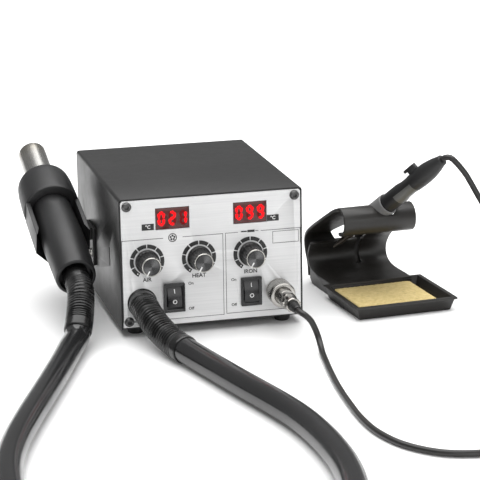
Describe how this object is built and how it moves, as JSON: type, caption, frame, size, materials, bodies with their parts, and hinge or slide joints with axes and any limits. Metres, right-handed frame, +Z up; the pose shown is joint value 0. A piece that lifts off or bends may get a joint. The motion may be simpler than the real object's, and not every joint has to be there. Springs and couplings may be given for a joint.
{
  "type": "soldering iron station",
  "caption": "Bench rework station: sheet-metal case with panel controls, hot-air handset in a side cradle, and a soldering iron in a stand with sponge tray.",
  "frame": {"origin": "middle of the footprint of the case, handset and stand, on the bench they stand on; the cords and what is on them are left out of it", "axes": "+X to the right along the front panel, -Y out of the front panel towards the user, +Z up"},
  "size_m": [0.4624, 0.6757, 0.1253],
  "materials": {
    "case_paint": "fine satin texture",
    "brushed_plate": "fine horizontal brushing, satin",
    "black_rubber": "semi-matt",
    "cord_jacket": "semi-gloss",
    "black_screw": "black oxide",
    "bare_steel": "drawn, satin",
    "display_lens": "smoked red window",
    "circuit_board": "solder mask",
    "knob_plastic": "moulded, satin",
    "spun_cap": "spun and anodised",
    "gloss_black": "moulded, glossy",
    "nickel_plate": "bright nickel",
    "core_steel": "varnished laminations",
    "cast_alloy": "die-cast",
    "clear_tube": "milky silicone",
    "handle_plastic": "moulded, fine satin",
    "stand_plastic": "moulded, satin",
    "ceramic": "unglazed ceramic",
    "sponge": "damp cellulose, open pores",
    "collar_grey": "grey, satin"
  },
  "bodies": {
    "root": {"handset_cradle": "stand_plastic", "stand_base": "stand_plastic", "stand_shell": "stand_plastic", "stand_collar": "collar_grey", "case_cover": "case_paint", "base_pan": "case_paint", "front_panel": "brushed_plate", "rear_panel": "case_paint", "foot_front_left": "black_rubber", "foot_rear_left": "black_rubber", "foot_front_right": "black_rubber", "foot_rear_right": "black_rubber", "panel_screw_top_left": "black_screw", "panel_screw_top_right": "black_screw", "panel_screw_bottom_left": "black_screw", "panel_screw_bottom_right": "black_screw", "display_module_air": "display_lens", "display_module_iron": "display_lens", "display_board": "circuit_board", "potentiometer_air": "bare_steel", "potentiometer_heat": "bare_steel", "potentiometer_iron": "bare_steel", "switch_housing_air": "gloss_black", "switch_housing_iron": "gloss_black", "iron_socket": "nickel_plate", "plug_body": "nickel_plate", "plug_boot": "black_rubber", "main_board": "circuit_board", "transformer": "core_steel", "air_pump": "cast_alloy", "inner_air_tube": "clear_tube", "power_inlet": "gloss_black", "fuse_holder": "gloss_black", "outlet_boot": "black_rubber", "air_hose": "black_rubber", "handset_bracket": "case_paint", "bracket_screw_front": "bare_steel", "bracket_screw_rear": "bare_steel", "iron_cord_lower": "cord_jacket", "iron_cord_coil": "cord_jacket"},
    "knob_air": {"knob_air": "knob_plastic", "knob_cap_air": "spun_cap"},
    "knob_heat": {"knob_heat": "knob_plastic", "knob_cap_heat": "spun_cap"},
    "knob_iron": {"knob_iron": "knob_plastic", "knob_cap_iron": "spun_cap"},
    "rocker_air": {"rocker_air": "gloss_black"},
    "rocker_iron": {"rocker_iron": "gloss_black"},
    "coupling_ring": {"coupling_ring": "nickel_plate"},
    "handset": {"handset_handle": "handle_plastic", "handset_cap": "handle_plastic", "heater_tube": "bare_steel", "heater_core": "ceramic", "handset_boot": "black_rubber"},
    "iron": {"iron_handle": "handle_plastic", "iron_nut": "bare_steel", "iron_barrel": "bare_steel", "iron_tip": "bare_steel", "iron_cord_upper": "cord_jacket"},
    "sponge": {"sponge": "sponge"}
  },
  "joints": [
    {"name": "knob_air_turn", "type": "hinge", "parent": "root", "child": "knob_air", "pos_m": [-0.08439, -0.1036, 0.0575], "axis": [0, 1, 0], "range_deg": [0, 300]},
    {"name": "knob_heat_turn", "type": "hinge", "parent": "root", "child": "knob_heat", "pos_m": [-0.04489, -0.1036, 0.0575], "axis": [0, 1, 0], "range_deg": [0, 300]},
    {"name": "knob_iron_turn", "type": "hinge", "parent": "root", "child": "knob_iron", "pos_m": [-0.00539, -0.1036, 0.0575], "axis": [0, 1, 0], "range_deg": [0, 300]},
    {"name": "rocker_air_tip", "type": "hinge", "parent": "root", "child": "rocker_air", "pos_m": [-0.06439, -0.0926, 0.0282], "axis": [1, 0, 0], "range_deg": [0, 20]},
    {"name": "rocker_iron_tip", "type": "hinge", "parent": "root", "child": "rocker_iron", "pos_m": [-0.00519, -0.0926, 0.0282], "axis": [1, 0, 0], "range_deg": [0, 20]},
    {"name": "coupling_ring_turn", "type": "hinge", "parent": "root", "child": "coupling_ring", "pos_m": [0.01551, -0.1056, 0.0274], "axis": [0, -1, 0], "continuous": true},
    {"name": "handset_lift", "type": "slide", "parent": "root", "child": "handset", "axis": [0, 0, 1], "range_m": [0, 0.06]},
    {"name": "iron_draw", "type": "slide", "parent": "root", "child": "iron", "axis": [0.4315, -0.6476, 0.628], "range_m": [0, 0.1]},
    {"name": "sponge_lift", "type": "slide", "parent": "root", "child": "sponge", "axis": [0, 0, 1], "range_m": [0, 0.02]}
  ]
}
